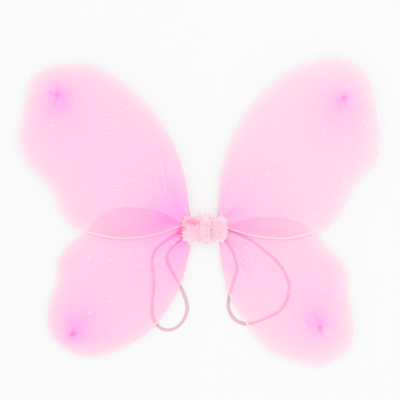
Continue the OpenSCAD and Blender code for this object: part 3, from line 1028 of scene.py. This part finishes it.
def shoulder_loop(name, route, node):
    """Flat braided elastic along its route, ribbed lengthwise."""
    path = resampled(spline(route, 12), 1.1)
    across = left_of(headings(path))
    along = lengths(path)
    sides = 20
    angle = 2 * math.pi * (np.arange(sides) + 0.5) / sides
    flat_half = STRAP_W / 2 - STRAP_T / 2
    wide = np.sign(np.cos(angle)) * flat_half * np.abs(np.cos(angle)) ** 0.6
    wide = wide + np.cos(angle) * STRAP_T / 2
    narrow = 0.85 + 0.12 * np.sin(along * 0.07 + 0.6) * np.sin(along * 0.023)
    high = np.sin(angle) * STRAP_T / 2
    centre = np.hstack([path, np.full((len(path), 1), STRAP_Z)])
    beside = (narrow[:, None] * wide)[:, :, None] * across[:, None, :]
    above = np.broadcast_to(high[None, :, None], (len(path), sides, 1))
    points = (centre[:, None, :] + np.concatenate([beside, above], axis=2)).reshape(-1, 3)
    faces = []
    for i in range(len(path) - 1):
        for k in range(sides):
            n = (k + 1) % sides
            here, there = i * sides, (i + 1) * sides
            faces.append([here + k, there + k, there + n, here + n])
    faces.append(list(range(sides)))
    faces.append([(len(path) - 1) * sides + k for k in range(sides - 1, -1, -1)])
    piece = mesh_piece(name, points, faces)
    layer = piece.data.uv_layers.new(name="UVMap")
    place = np.stack([np.tile(wide / STRAP_W + 0.5, len(path)), np.repeat(along * MM, sides)], axis=1)
    corners = np.empty(len(piece.data.loops), np.int32)
    piece.data.loops.foreach_get("vertex_index", corners)
    layer.data.foreach_set("uv", place[corners].ravel())
    from_end = np.repeat(np.minimum(along, along[-1] - along), sides)
    mark_points(piece, "blush", 0.8 - 0.8 * smooth(from_end, 16, 44))
    outward(finished(piece, name, ELASTIC))
    placed(piece, "centre", "elastic", node)
    return piece


# ---- Plush ----

# How far the backing lies inside the frame's solid, the tufts' usual length, their number on
# each turn and how near another piece makes them shorter, and the strip's folds, where shade is
# painted into the plush as a deeper pink: place, width, height and depth
BACKING_DEPTH = 1.0
PILE = 4.4
PILE_COUNT = 16000
PILE_REACH = 9.0
PLUSH_SHADED_FOLDS = [
    [-18, 9, 7.5, 3.0, 0.7], [-14, 7.5, 4, 1.1, 0.5], [-25, 0.5, 2.4, 2.6, 0.9], [10.5, 0, 1.0, 6, 0.4],
    [2, 6, 2, 2, 0.25], [12, 13, 1.5, 1.5, 0.4], [-9, -6, 1.2, 5, 0.25],
]


def strand():
    """One tuft of pile: a thin three-sided spike that leans over at its tip."""
    deselect()
    bpy.ops.mesh.primitive_cone_add(
        vertices=3, radius1=0.11 * MM, depth=MM, end_fill_type="NOTHING"
    )
    piece = bpy.context.object
    with editing():
        bpy.ops.transform.translate(value=(0, 0, 0.5 * MM))
        bpy.ops.mesh.bisect(plane_co=(0, 0, 0.5 * MM), plane_no=(0, 0, 1))

    def leaned(points):
        height = points[:, 2]
        bulge = 1 + 0.5 * np.sin(np.clip(height, 0, 1) * math.pi)
        x = points[:, 0] * bulge + 0.3 * height ** 2
        return np.stack([x, points[:, 1] * bulge, height * (1 - 0.06 * height)], axis=1)

    return moved(piece, leaned)


def plush_core(name, node):
    """The plush's backing: the frame's solid, softened and shrunk evenly inwards."""
    source = frame["nodes"][node]
    piece = source.copy()
    piece.data = source.data.copy()
    piece.parent = None
    for key in list(piece.keys()):
        del piece[key]
    bpy.context.scene.collection.objects.link(piece)
    only(piece)
    with editing():
        bpy.ops.mesh.remove_doubles(threshold=0.01 * MM)
    for kind, settings in (
        ("REMESH", {"mode": "VOXEL", "voxel_size": 0.6 * MM}),
        ("SMOOTH", {"iterations": 6}),
        ("DISPLACE", {"strength": -BACKING_DEPTH * MM, "mid_level": 0}),
    ):
        modifier = piece.modifiers.new(kind, kind)
        for setting, value in settings.items():
            setattr(modifier, setting, value)
        bpy.ops.object.modifier_apply(modifier=modifier.name)
    return finished(piece, name, PLUSH)


def surface_seeds(core, count, random, blockers):
    """Points spread over the core's outside with their outward directions."""
    triangles = core.data.loop_triangles
    core.data.calc_loop_triangles()
    corners = np.empty(len(triangles) * 3, np.int32)
    triangles.foreach_get("vertices", corners)
    a, b, c = (points_of(core)[corners[i::3]] for i in range(3))
    normal = np.cross(b - a, c - a)
    area = np.linalg.norm(normal, axis=1)
    normal /= np.maximum(area[:, None], 1e-6)
    pick = random.choice(len(area), count, p=area / area.sum())
    u, v = random.random(count), random.random(count)
    u, v = np.where(u + v > 1, 1 - u, u), np.where(u + v > 1, 1 - v, v)
    spot = a[pick] + (b - a)[pick] * u[:, None] + (c - a)[pick] * v[:, None]
    up = normal[pick]
    room = np.full(count, PILE_REACH)
    for i in range(count):
        start = Vector(metres(spot[i] + 0.4 * up[i]))
        for tree in blockers:
            hit = tree.ray_cast(start, Vector(up[i]), PILE_REACH * MM)[3]
            if hit is not None:
                room[i] = min(room[i], hit / MM)
    return spot, up, room


def folds(places):
    """How deep in a fold of the strip each place lies, for the shade painted there: 0 outside the folds,
    1 in the deepest.
    """
    total = np.zeros(len(places))
    for x, y, wide, high, depth in PLUSH_SHADED_FOLDS:
        off = ((places[:, 0] - x) / wide) ** 2 + ((places[:, 1] - y) / high) ** 2
        total += depth * np.exp(-off)
    return np.clip(total, 0, 1)


def plush(name, node, body, seed):
    """A turn of the plush strip: its backing and the pile that stands out of it."""
    random = np.random.default_rng(seed)
    core = plush_core(name, node)
    others = [wing.name + "_cover" for wing in WINGS] + ["plush_band"] * (node != "plush_band")
    near = [core] + [frame["nodes"][other] for other in others]
    blockers = [
        BVHTree.FromPolygons([v.co for v in p.data.vertices], [f.vertices for f in p.data.polygons])
        for p in near
    ]
    feet, ups, room = surface_seeds(core, PILE_COUNT, random, blockers)
    shape = strand()
    long = PILE * random.uniform(0.45, 1.25, len(feet))
    long *= np.where(ups[:, 2] < -0.5, 0.25, 1.0)
    clump = np.sin(feet[:, 0] * 1.1 + 2 * np.sin(feet[:, 1] * 0.6)) * np.cos(feet[:, 1] * 0.9)
    long *= 1 + 0.1 * clump
    long *= np.where(random.random(len(feet)) < 0.06, 1.7, 1.0)
    long = np.minimum(long, np.where(room < PILE_REACH, 0.75 * room, 99))
    lean = np.where(room < PILE_REACH, 1.4, 0.0)[:, None] * [0, 0, 1] * (feet[:, 2:3] > 6)
    long = np.where((room < PILE_REACH) & (feet[:, 2] > 6), 5.0, long)
    ups = ups + random.normal(0, 0.42, ups.shape) + lean
    ups += 0.12 * np.stack([clump, -clump, 0 * clump], axis=1)
    # The pile beside a gap between two turns lies over it
    beside = np.abs(feet[:, 0]) - FLAP_X
    over = np.exp(-((beside / 2.2) ** 2)) * (feet[:, 2] > 9)
    ups[:, 0] -= 1.1 * over * np.sign(beside) * np.sign(feet[:, 0])
    long = np.where(over > 0.3, np.maximum(long, 4.6), long)
    ups = unit(ups)
    tall = (feet[:, 2] + ups[:, 2] * long > 0.4) & (long > 0.7)
    feet, ups, long = feet[tall], ups[tall], long[tall]
    spins = random.uniform(0, 6.28, len(feet))
    pile = scattered(name + "_pile", shape, feet, ups, spins, long, tip=True)
    bpy.data.objects.remove(shape)
    finished(pile, name + "_pile", PLUSH)
    # The depth of each fold, for the shade painted into the plush there
    mark_points(core, "fold", folds(points_of(core)))
    per_tuft = len(pile.data.vertices) // len(feet)
    mark_points(pile, "fold", np.repeat(folds(feet), per_tuft))
    placed(core, body, "plush", node)
    placed(pile, body, "plush")
    return core, pile


# ---- The object ----

# Each wing with its density, how much denser its root is, the direction, pull and strength of
# the halo round its knot, and its seed
WINGS = [
    Wing("upper_left", -1, 1, UPPER_LEFT, 0.0, 1.2, (70, 0.42, 1.2), 11),
    Wing("upper_right", 1, 1, UPPER_RIGHT, -0.11, 0.75, (75, 0.45, 1.0), 12),
    Wing("lower_left", -1, -1, LOWER_LEFT, 0.07, 0.85, (-60, 0.42, 1.25), 13),
    Wing("lower_right", 1, -1, LOWER_RIGHT, -0.08, 0.7, (-68, 0.54, 1.05), 14),
]

wire_bends(-1, "left")
wire_bends(1, "right")
for wing in WINGS:
    cover(wing)
    wing_wire(wing)
    root_thread(wing)
    tip_thread(wing)
    knot(wing)
    glue_lines(wing)
    glue_dots(wing)

shoulder_loop("left_shoulder_loop", LEFT_ROUTE, "left_strap")
shoulder_loop("right_shoulder_loop", RIGHT_ROUTE, "right_strap")

plush("middle_plush", "plush_band", "centre", 21)
plush("left_plush", "left_plush_turn", "left_root", 22)
plush("right_plush", "right_plush_turn", "right_root", 23)

for node, finish in (
    ("left_wire_ends", WIRE),
    ("right_wire_ends", WIRE),
    ("centre_wires", WIRE),
    ("binding_tape", TAPE),
):
    frame["nodes"][node].data.materials.clear()
    frame["nodes"][node].data.materials.append(finish)


# ---- Floor, light and camera ----


def studio():
    """A plain pale floor, soft light from all round and a camera straight above."""
    deselect()
    bpy.ops.mesh.primitive_plane_add(size=6, location=(0, 0, -0.0002))
    floor = bpy.context.object
    floor.name = "floor"
    paper = Finish(
        "pale_paper",
        Roughness=0.9,
        Specular_IOR_Level=0.1,
        Emission_Color=grey(1),
        Emission_Strength=0.605,
    )
    paper.set("Base Color", paper.mix(paper.noise(paper.place(), 4.0), grey(0.255), grey(0.265)))
    floor.data.materials.append(paper.material)

    scene = bpy.context.scene
    scene.view_settings.view_transform = "Standard"
    world = bpy.data.worlds.new("studio")
    scene.world = world
    world.use_nodes = True
    sky = world.node_tree.nodes["Background"].inputs
    sky["Color"].default_value = grey(1)
    sky["Strength"].default_value = 1.13

    for name, place, power, size in (
        ("soft_box", (0.7, 0.5, 1.9), 9, 1.6),
        ("fill_box", (-0.9, -0.6, 1.7), 4.5, 1.8),
    ):
        bpy.ops.object.light_add(type="AREA", location=place)
        lamp = bpy.context.object
        lamp.name = name
        lamp.data.energy = power
        lamp.data.size = size
        aim = Vector((0, 0, 0)) - Vector(place)
        lamp.rotation_euler = aim.to_track_quat("-Z", "Y").to_euler()

    view_w = 0.52
    centre = (-0.0065, 0.0377)
    lens, sensor = 120.0, 36.0
    height = view_w * lens / sensor + 0.008
    bpy.ops.object.camera_add(location=(*centre, height), rotation=(0, 0, 0))
    camera = bpy.context.object
    camera.name = "camera"
    camera.data.lens = lens
    camera.data.sensor_width = sensor
    camera.data.clip_end = 20
    scene.camera = camera


studio()
